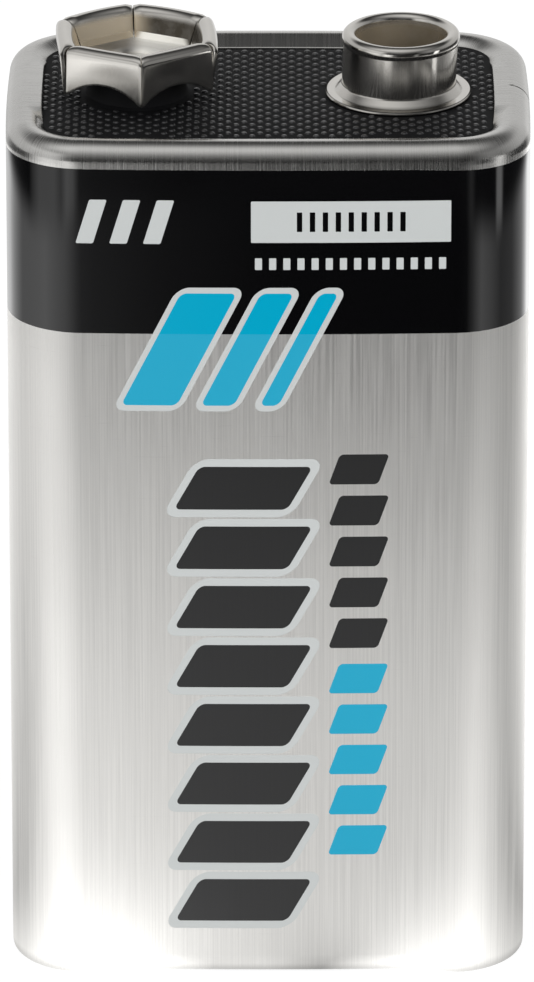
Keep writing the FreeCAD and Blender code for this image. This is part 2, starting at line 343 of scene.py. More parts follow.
def arc_stations(centre, radius, start, end, count):
    """Points and outward normals along an arc, without its end."""
    for step in range(count):
        turn = start + (end - start) * step / count
        normal = Vector((math.cos(turn), math.sin(turn)))
        yield centre + normal * radius, normal


def plan_stations(side_count, corner_count, back_count, seam=()):
    """Points and outward normals once round the case, from the middle of its right side."""
    corner = corner_centre()
    back = Vector((0.0, HALF_DEPTH - FRONT_ARC))
    side = Vector((HALF_WIDTH - SIDE_ARC, 0.0))
    side_turn = math.atan2(corner.y - side.y, corner.x - side.x)
    back_turn = math.atan2(corner.y - back.y, corner.x - back.x)
    quarter = list(arc_stations(side, SIDE_ARC, 0.0, side_turn, side_count))
    for offset in seam:
        normal = Vector((math.cos(offset / SIDE_ARC), math.sin(offset / SIDE_ARC)))
        quarter.append((side + normal * SIDE_ARC, normal))
    quarter.sort(key=lambda station: station[0].y)
    quarter += arc_stations(corner, CORNER_RADIUS, side_turn, back_turn, corner_count)
    quarter += arc_stations(back, FRONT_ARC, back_turn, math.pi / 2, back_count)
    quarter.append((Vector((0.0, HALF_DEPTH)), Vector((0.0, 1.0))))
    half = quarter + [mirrored(station, -1, 1) for station in reversed(quarter[:-1])]
    return half + [mirrored(station, 1, -1) for station in reversed(half[1:-1])]


def mirrored(station, x, y):
    return tuple(Vector((value.x * x, value.y * y)) for value in station)


def inset_of(x, y):
    """How far a point lies inside the case's plan."""
    x, y = abs(x), abs(y)
    corner = corner_centre()
    point = Vector((x, y))
    if x > corner.x and y > corner.y:
        return CORNER_RADIUS - (point - corner).length
    back = FRONT_ARC - (point - Vector((0.0, HALF_DEPTH - FRONT_ARC))).length
    side = SIDE_ARC - (point - Vector((HALF_WIDTH - SIDE_ARC, 0.0))).length
    return min(back, side)


def on_flap(point):
    """1 beside a flap of the short sides, 0 away from it."""
    if abs(point.x) < corner_centre().x + 1:
        return 0.0
    return 1 - eased(abs(point.y), 2.5, 3.7)


def lip_shape(point):
    """Slope of the upper lip in radians at a point of the plan, and the length of its flat run."""
    group = settings("case")
    across, along = abs(point.x), abs(point.y)
    corner = corner_centre()
    on_long = 1 - eased(across, corner.x - 2.4, corner.x + 0.6)
    slope = mixed(group.corner_slope, group.lip_slope, on_long)
    long_lip = mm(group, "long_lip") + (mm(group, "back_lip") if point.y > 0 else 0.0)
    reach = mixed(mm(group, "corner_lip"), long_lip, on_long)
    if across > corner.x + 1:
        rising = eased(along, 2.6, 5.4)
        slope = mixed(group.flap_slope, slope, rising)
        reach = mixed(mm(group, "flap"), reach, rising)
    rolled = mm(group, "rim_bend") * (1 + math.sin(slope))
    least_run = 0.09
    return slope, max((reach - rolled) / math.cos(slope), least_run)


def lip_reach(point):
    """How far the upper lip reaches in at a point of the plan."""
    slope, run = lip_shape(point)
    return mm(settings("case"), "rim_bend") * (1 + math.sin(slope)) + run * math.cos(slope)


def ringed(bm, stations, sections):
    """Draws a closed section round the plan. Each section is a list of (inset, z), one for each station."""
    tag = bm.verts.layers.int.new("station")
    rank = bm.verts.layers.int.new("level")
    count = len(stations)
    ring = bmesh.ops.create_circle(bm, cap_ends=False, segments=count, radius=HALF_WIDTH)["verts"]
    for index, vertex in enumerate(ring):
        vertex[tag] = index
    first = edges = list(bm.edges)
    for level in range(len(sections[0])):
        if level:
            made = bmesh.ops.extrude_edge_only(bm, edges=edges)["geom"]
            ring = [item for item in made if isinstance(item, bmesh.types.BMVert)]
            fresh = set(ring)
            edges = [item for item in made if isinstance(item, bmesh.types.BMEdge)]
            edges = [edge for edge in edges if fresh.issuperset(edge.verts)]
        for vertex in ring:
            point, normal = stations[vertex[tag]]
            inset, z = sections[vertex[tag]][level]
            vertex.co = (*(point - normal * inset), z)
            vertex[rank] = level
    return first, edges


def unroll(bm, stations, section):
    """Lays a map over a ringed shape: millimetres round the plan and along the section."""
    around, along = [0.0], [0.0]
    for (here, _), (after, _) in zip(stations, stations[1:] + stations[:1]):
        around.append(around[-1] + (after - here).length)
    for here, after in zip(section, section[1:]):
        along.append(along[-1] + math.dist(here, after))
    station, level = bm.verts.layers.int["station"], bm.verts.layers.int["level"]
    uv = bm.loops.layers.uv.new("unrolled")
    for face in bm.faces:
        numbers = [loop.vert[station] for loop in face.loops]
        wraps = max(numbers) - min(numbers) > 1
        for loop, number in zip(face.loops, numbers):
            place = len(stations) if wraps and not number else number
            loop[uv].uv = (around[place], along[loop.vert[level]])


def arc_points(inset, z, radius, start, end, count):
    """Points of a bend in a section. Angles are in degrees, 0 on the wall and 90 on top."""
    for step in range(count + 1):
        turn = math.radians(start + (end - start) * step / count)
        yield inset - radius * math.cos(turn), z + radius * math.sin(turn)


# Sections of bent sheet


def beside(corners, bends, distance):
    """Corners and bends of a path that runs beside another."""
    runs = [(b - a).normalized() for a, b in zip(corners, corners[1:])]
    sides = [Vector((-run.y, run.x)) for run in runs]
    moved = [corners[0] + sides[0] * distance]
    radii = []
    for index, corner in enumerate(corners[1:-1]):
        bisector = (sides[index] + sides[index + 1]).normalized()
        moved.append(corner + bisector * (distance / bisector.dot(sides[index])))
        sense = math.copysign(1, runs[index].x * runs[index + 1].y - runs[index].y * runs[index + 1].x)
        radii.append(max(bends[index] - sense * distance, 0.0) if bends[index] else 0.0)
    moved.append(corners[-1] + sides[-1] * distance)
    return moved, radii


def bent_path(corners, bends, steps):
    """Points along straight runs that are joined by round bends."""
    path = [corners[0]]
    for before, corner, after, bend in zip(corners, corners[1:], corners[2:], bends):
        if not bend:
            path.append(corner)
            continue
        back = (before - corner).normalized()
        ahead = (after - corner).normalized()
        half = back.angle(ahead) / 2
        centre = corner + (back + ahead).normalized() * (bend / math.sin(half))
        start = corner + back * (bend / math.tan(half)) - centre
        end = corner + ahead * (bend / math.tan(half)) - centre
        sweep = math.atan2(start.x * end.y - start.y * end.x, start.dot(end))
        path += [centre + Matrix.Rotation(sweep * step / steps, 2) @ start for step in range(steps + 1)]
    path.append(corners[-1])
    return path


def held(path, reach=0.03):
    """Adds a point near both ends of each long run, so that smooth shading keeps it straight."""
    kept = [path[0]]
    for here, after in zip(path, path[1:]):
        if (after - here).length > 5 * reach:
            along = (after - here).normalized() * reach
            kept += [here + along, after - along]
        kept.append(after)
    return kept


def sheet_section(points, bends, thickness, steps, edge=0.04):
    """Closed section of a bent sheet whose two ends are slightly rounded."""
    corners = [Vector(point) for point in points]
    outer = held(bent_path(*beside(corners, bends, thickness / 2), steps))
    inner = held(bent_path(*beside(corners, bends, -thickness / 2), steps))
    section = []
    for path, other in ((outer, inner[-1]), (inner[::-1], outer[0])):
        start = path[0] + (path[1] - path[0]).normalized() * edge
        end = path[-1] + (path[-2] - path[-1]).normalized() * edge
        section += [start, *path[1:-1], end]
        middle = (path[-1] + other) / 2
        section.append(path[-1] + (middle - path[-1]).normalized() * edge)
        section.append(other + (middle - other).normalized() * edge)
    return section


def turned(bm, section, x, steps):
    """Spins a closed section of (radius, z) points about an upright axis."""
    ring = [bm.verts.new((x + radius, 0.0, z)) for radius, z in section]
    edges = [bm.edges.new(pair) for pair in zip(ring, ring[1:] + ring[:1])]
    bmesh.ops.spin(
        bm, geom=ring + edges, cent=(x, 0.0, 0.0), axis=(0.0, 0.0, 1.0), angle=math.tau, steps=steps,
        use_merge=True,
    )


def rounded(bm, edges, offset):
    """Rounds sharp edges a little."""
    bmesh.ops.bevel(
        bm, geom=edges, offset=offset, offset_type="OFFSET", segments=2, profile=0.5, affect="EDGES",
        material=-1,
    )


def seal(bm):
    """Merges what meets and turns every face outwards."""
    bmesh.ops.remove_doubles(bm, verts=bm.verts, dist=1e-5)
    bmesh.ops.recalc_face_normals(bm, faces=bm.faces)


# Finishes


def case_finish():
    """Brushed sheet with a gloss black band and a plain printed design."""
    group = settings("print")
    material, wiring, shader = surface("case_finish", IOR=1.6, Anisotropic=0.72)
    x, y, z = wiring.split(wiring.place())
    front = wiring.math("LESS_THAN", y, 0.0)
    band_low, band_high = mm(group, "band_low"), mm(group, "band_high")
    band_top = wiring.ease(x, 6.0, 12.0, band_high, band_high - mm(group, "band_fall"))
    band = wiring.between(z, band_low, band_top)

    def bar(centre, half, radius=0.05, slant=0.0, grow=0.0, across=x, upright=z):
        """A rounded bar on the front, grown by grow."""
        across = wiring.math("SUBTRACT", across, centre[0])
        up = wiring.math("SUBTRACT", upright, centre[1])
        across = wiring.math("SUBTRACT", across, wiring.product(up, slant))
        beyond = [
            wiring.math("MAXIMUM", wiring.math("SUBTRACT", wiring.math("ABSOLUTE", value), size - radius), 0.0)
            for value, size in ((across, half[0]), (up, half[1]))
        ]
        return wiring.product(front, wiring.math("LESS_THAN", wiring.length(*beyond), radius + grow))

    def repeated(value, low, pitch, count):
        """The value within its own step, and whether it lies in one of the steps."""
        steps = wiring.math("DIVIDE", wiring.math("SUBTRACT", value, low), pitch)
        inside = wiring.between(value, low, low + pitch * count)
        return wiring.product(wiring.math("FRACT", steps), pitch), inside

    def pile(low, pitch, count, centre_x, half, radius, slant, grow=0.0):
        """The same bar several times, one over the other."""
        local, inside = repeated(z, low, pitch, count)
        shape = bar((centre_x, pitch / 2), half, radius, slant, grow, upright=local)
        return wiring.product(inside, shape)

    def row(low, pitch, count, centre_z, half, radius, slant=0.0):
        """The same bar several times, side by side."""
        local, inside = repeated(x, low, pitch, count)
        return wiring.product(inside, bar((pitch / 2, centre_z), half, radius, slant, across=local))

    def either(*masks):
        """1 wherever one of the masks is 1."""
        total = masks[0]
        for mask in masks[1:]:
            total = wiring.math("MAXIMUM", total, mask)
        return total

    big = dict(low=2.6, pitch=3.12, count=8, centre_x=-1.2, half=(2.75, 1.12), radius=0.3, slant=0.55)
    small = dict(pitch=2.15, count=5, centre_x=4.4, half=(1.2, 0.78), radius=0.2, slant=0.35)
    widths = ((-4.3, 1.35), (-1.0, 0.8), (1.5, 0.45))
    slashes = [((centre, 33.2), (half, 2.9), 0.3, 0.5) for centre, half in widths]
    white = either(
        bar((3.98, 39.77), (4.8, 1.06)),
        row(-9.3, 1.62, 3, 39.75, (0.42, 1.12), 0.08, 0.3),
        row(-0.8, 0.68, 14, 37.62, (0.17, 0.3), 0.04),
        pile(grow=0.4, **big),
        *[bar(*slash, grow=0.3) for slash in slashes],
    )
    black = either(
        pile(**big),
        pile(low=17.3, **small),
        row(1.2, 0.62, 9, 39.77, (0.13, 0.5), 0.03),
    )
    accent = either(pile(low=6.3, **small), *[bar(*slash) for slash in slashes])
    inked = either(white, black, accent)

    unrolled = wiring.add("ShaderNodeUVMap", uv_map="unrolled").outputs[0]
    tangent = wiring.add("ShaderNodeTangent", direction_type="UV_MAP", uv_map="unrolled").outputs[0]
    wiring.feed(shader.inputs["Tangent"], tangent)
    streaks = wiring.ease(wiring.noise(1.0, 3.0, (10.0, 0.07, 1.0), 0.7, unrolled), 0.28, 0.72)
    bands = wiring.noise(1.0, 2.0, (1.3, 0.02, 1.0), 0.5, unrolled)
    clouds = wiring.noise(0.25, 3.0, (1.0, 1.0, 0.6))
    hairs = wiring.ease(wiring.noise(1.0, 2.0, (0.35, 11.0, 1.0), 0.6, unrolled), 0.66, 0.74)
    from_belt = wiring.math("ABSOLUTE", wiring.math("SUBTRACT", z, 31.0))
    hairs = wiring.product(hairs, wiring.math("MAXIMUM", wiring.ease(from_belt, 5.0, 2.0), 0.3))
    shade = wiring.math("MULTIPLY_ADD", streaks, 0.15, wiring.math("MULTIPLY_ADD", bands, 0.07, 0.85))
    shade = wiring.math("MULTIPLY_ADD", hairs, -0.07, shade)
    # Painted shade: the sheet is painted darker over its lowest 0.75 mm, along the foot.
    shade = wiring.product(shade, wiring.ease(z, 0.15, 0.75, 0.62, 1.0))
    shade = wiring.add("ShaderNodeCombineXYZ", {0: shade, 1: shade, 2: shade}).outputs[0]
    tint = {0: shade, 1: tuple(group.metal)}
    metal = wiring.add("ShaderNodeVectorMath", tint, operation="MULTIPLY").outputs[0]
    base = wiring.blend(band, metal, tuple(group.black))
    base = wiring.blend(white, base, tuple(group.white))
    base = wiring.blend(accent, base, tuple(group.accent))
    base = wiring.blend(black, base, tuple(group.black))
    wiring.feed(shader.inputs["Base Color"], base)
    bare = wiring.math("SUBTRACT", 1.0, wiring.math("MAXIMUM", band, inked))
    wiring.feed(shader.inputs["Metallic"], bare)
    rough = wiring.math("MULTIPLY_ADD", streaks, 0.12, wiring.math("MULTIPLY_ADD", clouds, 0.08, 0.33))
    rough = wiring.math("SUBTRACT", rough, wiring.ease(z, 42.0, 42.35, 0.0, 0.19))
    gloss = wiring.math("MULTIPLY_ADD", clouds, 0.04, 0.04)
    wiring.feed(shader.inputs["Roughness"], wiring.choose(band, rough, gloss))
    on_face = wiring.ease(wiring.math("ABSOLUTE", x), 10.6, 8.0, 0.05, 1.0)
    fine = wiring.product(wiring.math("MULTIPLY_ADD", hairs, -0.4, streaks), bare, on_face)
    wiring.feed(shader.inputs["Normal"], wiring.bump(fine, 0.004, 0.6))
    return material


def nickel_finish(name, x, reach, left=1.0, right=1.0):
    """Bright nickel with marks round its walls, brown within reach of the terminal's axis. The brown is partly
    tarnish and partly painted shade.

    Left and right are the levels of the brown on those sides, painted lighter or darker as painted light and
    shade. A dark crescent on the front of the flange and a pale right part of the floor are painted reflections.
    """
    group = settings("terminals")
    material, wiring, shader = surface(name, Anisotropic=0.9, Anisotropic_Rotation=0.25)
    tangent = wiring.add("ShaderNodeTangent", direction_type="RADIAL", axis="Z").outputs[0]
    wiring.feed(shader.inputs["Tangent"], tangent)
    along, across, up = wiring.split(wiring.place())
    along = wiring.math("SUBTRACT", along, x)
    away = wiring.length(along, across)
    turn_x, turn_y, _ = wiring.split(wiring.add("ShaderNodeNewGeometry").outputs["Normal"])
    facing = wiring.math("ADD", wiring.product(along, turn_x), wiring.product(across, turn_y))
    clouds = wiring.noise(1.4, 3.0)
    pits = wiring.noise(9.0, 2.0)

    inside = wiring.product(
        wiring.ease(facing, -0.5, -1.2),
        wiring.ease(away, reach, reach - 0.1),
        wiring.ease(up, STUD_TOP - 0.35, STUD_TOP - 0.7),
    )
    wall = wiring.product(wiring.ease(facing, 1.2, 2.2), wiring.ease(up, STUD_TOP - 0.5, STUD_TOP - 0.8))
    floor = wiring.product(
        wiring.between(up, SOCKET_FLOOR - 0.1, SOCKET_FLOOR + 0.3), wiring.ease(away, reach - 0.6, reach - 0.8)
    )
    # Painted reflection: the right part of the floor inside the terminal is painted pale and less metallic.
    painted_pale_reflection = wiring.product(floor, wiring.ease(along, -0.6, 0.4))
    # Painted reflection: a dark crescent painted on the front of the flange, where it mirrors the dark floor in
    # front.
    painted_dark_reflection = wiring.product(
        wiring.ease(up, PLATE_TOP + 0.35, PLATE_TOP + 0.15),
        wiring.ease(across, -2.0, -2.9),
        wiring.ease(away, FLANGE_RADIUS + 0.01, FLANGE_RADIUS - 0.09),
    )

    tone = wiring.blend(clouds, [value * 0.93 for value in group.nickel], tuple(group.nickel))
    # The brown is painted lighter on one side and darker on the other, as painted light and shade.
    lit_and_shaded_browns = [[value * level for value in group.tarnish_and_shade] for level in (left, right)]
    side_shaded_brown = wiring.blend(wiring.ease(along, -0.6, 0.9), *lit_and_shaded_browns)
    tone = wiring.blend(wiring.product(inside, wiring.ease(clouds, 0.2, 0.6, 0.88, 1.0)), tone, side_shaded_brown)
    tone = wiring.blend(painted_dark_reflection, tone, [value * 0.25 for value in group.nickel])
    wiring.feed(shader.inputs["Base Color"], wiring.blend(painted_pale_reflection, tone, (0.96, 0.94, 0.88)))
    rough = wiring.math("MULTIPLY_ADD", clouds, 0.10, 0.05)
    for mask, more in ((wall, 0.05), (floor, 0.35), (inside, 0.14)):
        rough = wiring.math("MULTIPLY_ADD", mask, more, rough)
    wiring.feed(shader.inputs["Roughness"], rough)
    metallic = wiring.math("MULTIPLY_ADD", inside, -0.3, wiring.math("MULTIPLY_ADD", painted_pale_reflection, -0.85, 1.0))
    wiring.feed(shader.inputs["Metallic"], metallic)
    wiring.feed(shader.inputs["Normal"], wiring.bump(pits, 0.002, 0.3))
    return material


def plate_finish(name, rough, lightness, ior=1.5):
    """Black moulded plastic."""
    group = settings("plate")
    material, wiring, shader = surface(name, IOR=ior)
    grain = wiring.noise(14.0, 3.0)
    clouds = wiring.noise(0.8, 2.0)
    tones = [[value * lightness * level for value in group.plastic] for level in (1.0, 1.6)]
    wiring.feed(shader.inputs["Base Color"], wiring.blend(clouds, *tones))
    wiring.feed(shader.inputs["Roughness"], wiring.math("MULTIPLY_ADD", clouds, 0.12, rough))
    wiring.feed(shader.inputs["Normal"], wiring.bump(grain, 0.004, 0.4))
    return material


def inner_finish(name, tone, metallic, rough, scale, stretch=(1.0, 1.0, 1.0), depth=0.01):
    """Finish of a piece inside the case: cloudy colour and a little relief."""
    material, wiring, shader = surface(name, Metallic=metallic)
    clouds = wiring.noise(scale, 4.0, stretch)
    tones = [[min(value * level, 1.0) for value in tone] for level in (0.8, 1.15)]
    wiring.feed(shader.inputs["Base Color"], wiring.blend(clouds, *tones))
    wiring.feed(shader.inputs["Roughness"], wiring.math("MULTIPLY_ADD", clouds, 0.15, rough))
    wiring.feed(shader.inputs["Normal"], wiring.bump(clouds, depth, 0.5))
    return material


# Pieces


class BATTERY_OT_case(bpy.types.Operator):
    """Roll the printed sheet case"""

    bl_idname = "battery.case"
    bl_label = "Case"

    def execute(self, context):
        group = settings("case")
        stations = plan_stations(28, 24, 14, (0.04, 0.06))
        sections = [self.section(group, point) for point, _ in stations]
        bm = bmesh.new()
        first, last = ringed(bm, stations, sections)
        bmesh.ops.bridge_loops(bm, edges=first + last)
        seal(bm)
        unroll(bm, stations, sections[0])
        write_piece(bm, "case_jacket", case_finish(), ["case"], 50.0)
        return {"FINISHED"}

    def section(self, group, point):
        """Outside from the lower lip up to the upper lip, then the inside back down."""
        sheet, bend = mm(group, "sheet"), mm(group, "rim_bend")
        across, along = abs(point.x), abs(point.y)
        corner = corner_centre()
        slope, flat = lip_shape(point)
        in_corner = eased(across, corner.x - 1.5, corner.x + 0.8) * eased(along, corner.y - 1.5, corner.y + 0.8)
        foot = mixed(mm(group, "foot_bend"), mm(group, "foot_corner_bend"), in_corner)
        band_low, band_high = [mm(settings("print"), name) for name in ("band_low", "band_high")]
        low_lip = 1.7
        small = 0.06
        dent = mm(group, "seam_depth") if point.x > 0 and along < 0.05 else 0.0
        top = CASE_TOP - bend

        lower = [(low_lip - small, 0.0), (foot + 0.05, 0.0)]
        lower += list(arc_points(foot, foot, foot, -90.0, 0.0, 10))
        lower += [(0.0, z) for z in (foot + 0.05, band_low / 2, band_low, band_high, top - 0.05)]
        turn = 90.0 + math.degrees(slope)
        upper = list(arc_points(bend, top, bend, 0.0, turn, 24))
        run = Vector((math.cos(slope), -math.sin(slope)))
        down = Vector((-math.sin(slope), -math.cos(slope)))
        edge = Vector(upper[-1]) + run * flat
        rim = [edge - run * 0.085, edge - run * small]
        for turned_by in (1.05, 0.52, 0.0):
            off = run * (math.cos(turned_by) - 1) + down * (1 - math.sin(turned_by))
            rim.append(edge + off * small)
        rim += [edge + down * (sheet - small), edge - run * small + down * sheet]
        inside = list(arc_points(bend, top, bend - sheet, turn, 0.0, 12))
        inside += [(sheet, band_low), (sheet, band_low / 2)]
        inside += list(arc_points(foot, foot, max(foot - sheet, small), 0.0, -90.0, 6))
        inside = [(max(inset, sheet), z) for inset, z in inside]
        inside[-1] = (inside[-1][0], sheet)
        closing = [(low_lip - 0.05, sheet), (low_lip, sheet - 0.05), (low_lip, small)]
        outside = [(inset + dent, z) for inset, z in lower + upper]
        return outside + [tuple(item) for item in rim] + inside + closing


class BATTERY_OT_top_plate(bpy.types.Operator):
    """Mould the black top plate with its raised texture"""

    bl_idname = "battery.top_plate"
    bl_label = "Top plate"

    def execute(self, context):
        group = settings("plate")
        drop = mm(group, "border_drop")
        stations = plan_stations(28, 16, 12)
        sections = []
        for point, _ in stations:
            corner = corner_centre()
            on_short = eased(abs(point.x), corner.x - 0.4, corner.x + 1.0)
            # Drawn back on the short sides and at the flaps, where it would show beside the lip
            border = lip_reach(point) + mm(group, "border") - 0.3 * on_short - 0.2 * on_flap(point)
            sections.append([
                (3.4, PLATE_BOTTOM),
                (0.45, PLATE_BOTTOM),
                (0.45, PLATE_BOTTOM + 0.1),
                (border - 0.1, PLATE_TOP - drop - 0.04),
                (border, PLATE_TOP - drop),
                (border + 0.1, PLATE_TOP - 0.1),
                (border + 0.17, PLATE_TOP - 0.02),
                (border + 0.26, PLATE_TOP),
            ])
        bm = bmesh.new()
        first, last = ringed(bm, stations, sections)
        bmesh.ops.edgeloop_fill(bm, edges=first)
        bmesh.ops.edgeloop_fill(bm, edges=last)
        seal(bm)
        radius = mm(group, "boss_radius")
        seat = SOCKET_FLOOR - mm(settings("terminals"), "sheet")
        boss = [(RIVET_HOLE, PLATE_TOP - 0.1), (radius + 0.3, PLATE_TOP - 0.1), (radius + 0.3, PLATE_TOP)]
        boss += [(radius + 0.09, PLATE_TOP + 0.09), (radius, PLATE_TOP + 0.3), (radius, seat), (RIVET_HOLE, seat)]
        turned(bm, boss, SOCKET_X, 48)
        bmesh.ops.recalc_face_normals(bm, faces=bm.faces)
        # The same plastic as the bumps, painted half as light: painted shade between the bumps.
        finish = plate_finish("plate_finish", 0.6, 0.5, 1.3)
        write_piece(bm, "top_plate_field", finish, ["top_plate"], 40.0)
        self.bumps(group)
        return {"FINISHED"}

    def bumps(self, group):
        """Round bumps in staggered rows over the open field."""
        reach, height, pitch = mm(group, "bump_radius"), mm(group, "bump_height"), mm(group, "bump_pitch")
        dome = bmesh.new()
        made = bmesh.ops.create_cone(
            dome, cap_ends=True, segments=14, radius1=reach + 0.03, radius2=reach - 0.03, depth=height
        )["verts"]
        bmesh.ops.translate(dome, verts=made, vec=(0.0, 0.0, height / 2 - 0.01))
        top = [edge for edge in dome.edges if all(vertex.co.z > height / 2 for vertex in edge.verts)]
        rounded(dome, top, 0.025)
        under = [face for face in dome.faces if face.normal.z < -0.9]
        bmesh.ops.delete(dome, geom=under, context="FACES_ONLY")
        mesh = bpy.data.meshes.new("bump")
        dome.to_mesh(mesh)
        dome.free()
        bm = bmesh.new()
        here = Vector((0.0, 0.0, 0.0))
        columns = int(2 * HALF_WIDTH / pitch) + 1
        rows = int(HALF_DEPTH / pitch) + 1
        corner = corner_centre()
        boss_foot = mm(group, "boss_radius") + 0.3
        front_border, corner_border, flap_border = 2.3, 1.98, 1.75
        for column in range(-columns, columns + 1):
            for row in range(-rows, rows + 1):
                x = column * pitch / 2
                y = (row + 0.5 * (column % 2)) * pitch
                on_flange = math.hypot(x - STUD_X, y) < FLANGE_RADIUS + reach
                on_boss = math.hypot(x - SOCKET_X, y) < boss_foot + reach
                long_border = front_border + (mm(settings("case"), "back_lip") if y > 0 else 0.0)
                border = mixed(long_border, corner_border, eased(abs(x), corner.x - 1.5, corner.x))
                if abs(x) > corner.x - 1 and abs(y) < corner.y - 1.6:
                    border = flap_border
                if abs(x) > HALF_WIDTH or inset_of(x, y) < border + reach or on_flange or on_boss:
                    continue
                there = Vector((x, y, PLATE_TOP))
                mesh.transform(Matrix.Translation(there - here))
                here = there
                bm.from_mesh(mesh)
        bpy.data.meshes.remove(mesh)
        # The bumps are painted twice as light as the field around them: painted light on the bumps.
        finish = plate_finish("bump_finish", 0.1, 1.0, 1.8)
        write_piece(bm, "top_plate_bumps", finish, [], 80.0)


class BATTERY_OT_negative_terminal(bpy.types.Operator):
    """Fold the snap socket from six petals"""

    bl_idname = "battery.negative_terminal"
    bl_label = "Negative terminal"

    def execute(self, context):
        group = settings("terminals")
        sheet = mm(group, "sheet")
        bm = bmesh.new()
        for index, shape in enumerate(self.petals):
            petal = self.petal(group, sheet, *shape)
            petal.transform(Matrix.Rotation(math.radians(60 * index), 4, "Z"))
            bm.from_mesh(petal)
            bpy.data.meshes.remove(petal)
        radius = self.floor_half_width / math.cos(math.pi / 6)
        made = bmesh.ops.create_circle(bm, cap_ends=True, segments=6, radius=radius)["verts"]
        bmesh.ops.translate(bm, verts=made, vec=(0.0, 0.0, SOCKET_FLOOR - sheet))
        face = next(iter(made[0].link_faces))
        grown = bmesh.ops.extrude_face_region(bm, geom=[face])["geom"]
        lifted = [item for item in grown if isinstance(item, bmesh.types.BMVert)]
        bmesh.ops.translate(bm, verts=lifted, vec=(0.0, 0.0, sheet))
        bmesh.ops.recalc_face_normals(bm, faces=bm.faces)
        bmesh.ops.rotate(bm, verts=bm.verts, matrix=Matrix.Rotation(group.socket_turn, 3, "Z"))
        bmesh.ops.translate(bm, verts=bm.verts, vec=(SOCKET_X, 0.0, 0.0))
        # Inside the socket the brown is painted light on the left and painted dark shade on the right.
        finish = nickel_finish("socket_finish", SOCKET_X, 3.7, 1.4, 0.12)
        write_piece(bm, "snap_socket", finish, ["negative_terminal"], 40.0)
        return {"FINISHED"}

    floor_half_width = 2.3
    # From the right petal on: inner and outer half widths at the top, half width at the foot, bow and
    # droop of the ends
    petals = (
        (3.12, 3.84, 3.55, 0.10, 0.05),
        (3.12, 3.84, 3.55, 0.22, 0.10),
        (3.12, 3.84, 3.55, 0.22, 0.10),
        (3.12, 3.84, 3.68, 0.10, 0.05),
        (2.86, 3.60, 3.60, 0.05, 0.04),
        (2.86, 3.60, 3.60, 0.05, 0.04),
    )

    def petal(self, group, sheet, inner, outer, low, bow, droop):
        """One petal that faces +X, from a grid laid along the folded section."""
        middle = sheet / 2
        rim = SOCKET_TOP - middle
        foot = SOCKET_TOP - 2.45
        floor = SOCKET_FLOOR - middle
        corners = [(self.floor_half_width, floor), (2.72, floor), (inner, rim), (outer - middle, rim)]
        corners.append((low - middle, foot))
        corners, bends = beside([Vector(point) for point in corners], [0.2, 0.3, 0.3], middle)
        path = bent_path(corners, bends, 8)
        down = 10
        straight = [path[-2] + (path[-1] - path[-2]) * step / down for step in range(1, down + 1)]
        wall = [path[9] + (path[10] - path[9]) * step / 4 for step in range(1, 4)]
        bent = path[:10] + wall + path[10:-1]
        path = bent + straight
        bm = bmesh.new()
        rows = 24
        bmesh.ops.create_grid(bm, x_segments=len(path) - 1, y_segments=rows, size=0.5)
        columns = sorted({round(vertex.co.x, 5) for vertex in bm.verts})
        if len(columns) != len(path):
            raise RuntimeError(f"the petal's grid has {len(columns)} columns for {len(path)} points")
        rise, half_arch, half_petal = mm(group, "arch_rise"), 1.85, 1.98
        radius = (half_arch**2 + rise**2) / (2 * rise)
        root = bent[-1]
        for vertex in bm.verts:
            index = columns.index(round(vertex.co.x, 5))
            side = vertex.co.y * 2
            point = path[index]
            if index >= len(bent):
                arch = math.sqrt(max(radius**2 - (side * half_petal) ** 2, 0.0))
                lift = max(rise - radius + arch, 0.0)
                reach = (root.y - foot - lift) / (root.y - foot)
                point = root + (point - root) * reach
            half = point.x * math.tan(math.pi / 6) - mm(group, "slit") / 2 / math.cos(math.pi / 6)
            lifted = eased(point.y, SOCKET_FLOOR + 0.1, rim)
            out = bow * (1 - side**2) * lifted
            fall = droop * eased(abs(side), 0.82, 1.0) * lifted
            vertex.co = (point.x + out, side * half, point.y - fall)
        bmesh.ops.recalc_face_normals(bm, faces=bm.faces)
        sample = max(bm.faces, key=lambda face: face.calc_center_median().z)
        if sample.normal.z < 0:
            bmesh.ops.reverse_faces(bm, faces=bm.faces)
        bmesh.ops.solidify(bm, geom=bm.faces, thickness=sheet)
        bmesh.ops.recalc_face_normals(bm, faces=bm.faces)
        sharp = [edge for edge in bm.edges if edge.is_manifold and edge.calc_face_angle() > math.radians(60)]
        rounded(bm, sharp, 0.035)
        mesh = bpy.data.meshes.new("petal")
        bm.to_mesh(mesh)
        bm.free()
        return mesh


class BATTERY_OT_positive_terminal(bpy.types.Operator):
    """Draw the snap stud"""

    bl_idname = "battery.positive_terminal"
    bl_label = "Positive terminal"

    def execute(self, context):
        group = settings("terminals")
        sheet = mm(group, "sheet")
        foot = PLATE_TOP + sheet / 2
        crest = STUD_TOP - 0.25
        foot_shift = 0.03
        section = sheet_section(
            [
                (RIVET_HOLE, foot), (2.05, foot), (2.30, crest), (2.76, crest), (2.76, crest - 0.3),
                (2.685, crest - 0.5), (2.67, foot + 0.42), (3.05, foot), (FLANGE_RADIUS - 0.005, foot),
            ],
            [0.3, 0.229, 0.229, 0.12, 0.12, 0.25, 0.18],
            sheet,
            10,
            0.075,
        )
        bm = bmesh.new()
        turned(bm, section, STUD_X - foot_shift, 128)
        seal(bm)
        for vertex in bm.verts:
            vertex.co.x += mm(group, "stud_lean") * (vertex.co.z - PLATE_TOP) / (STUD_TOP - PLATE_TOP)
        # Inside the stud the brown is painted as shade, a little darker on the right than on the left.
        finish = nickel_finish("stud_finish", STUD_X, 2.35, 0.9, 0.6)
        write_piece(bm, "snap_stud", finish, ["positive_terminal"], 50.0)
        return {"FINISHED"}


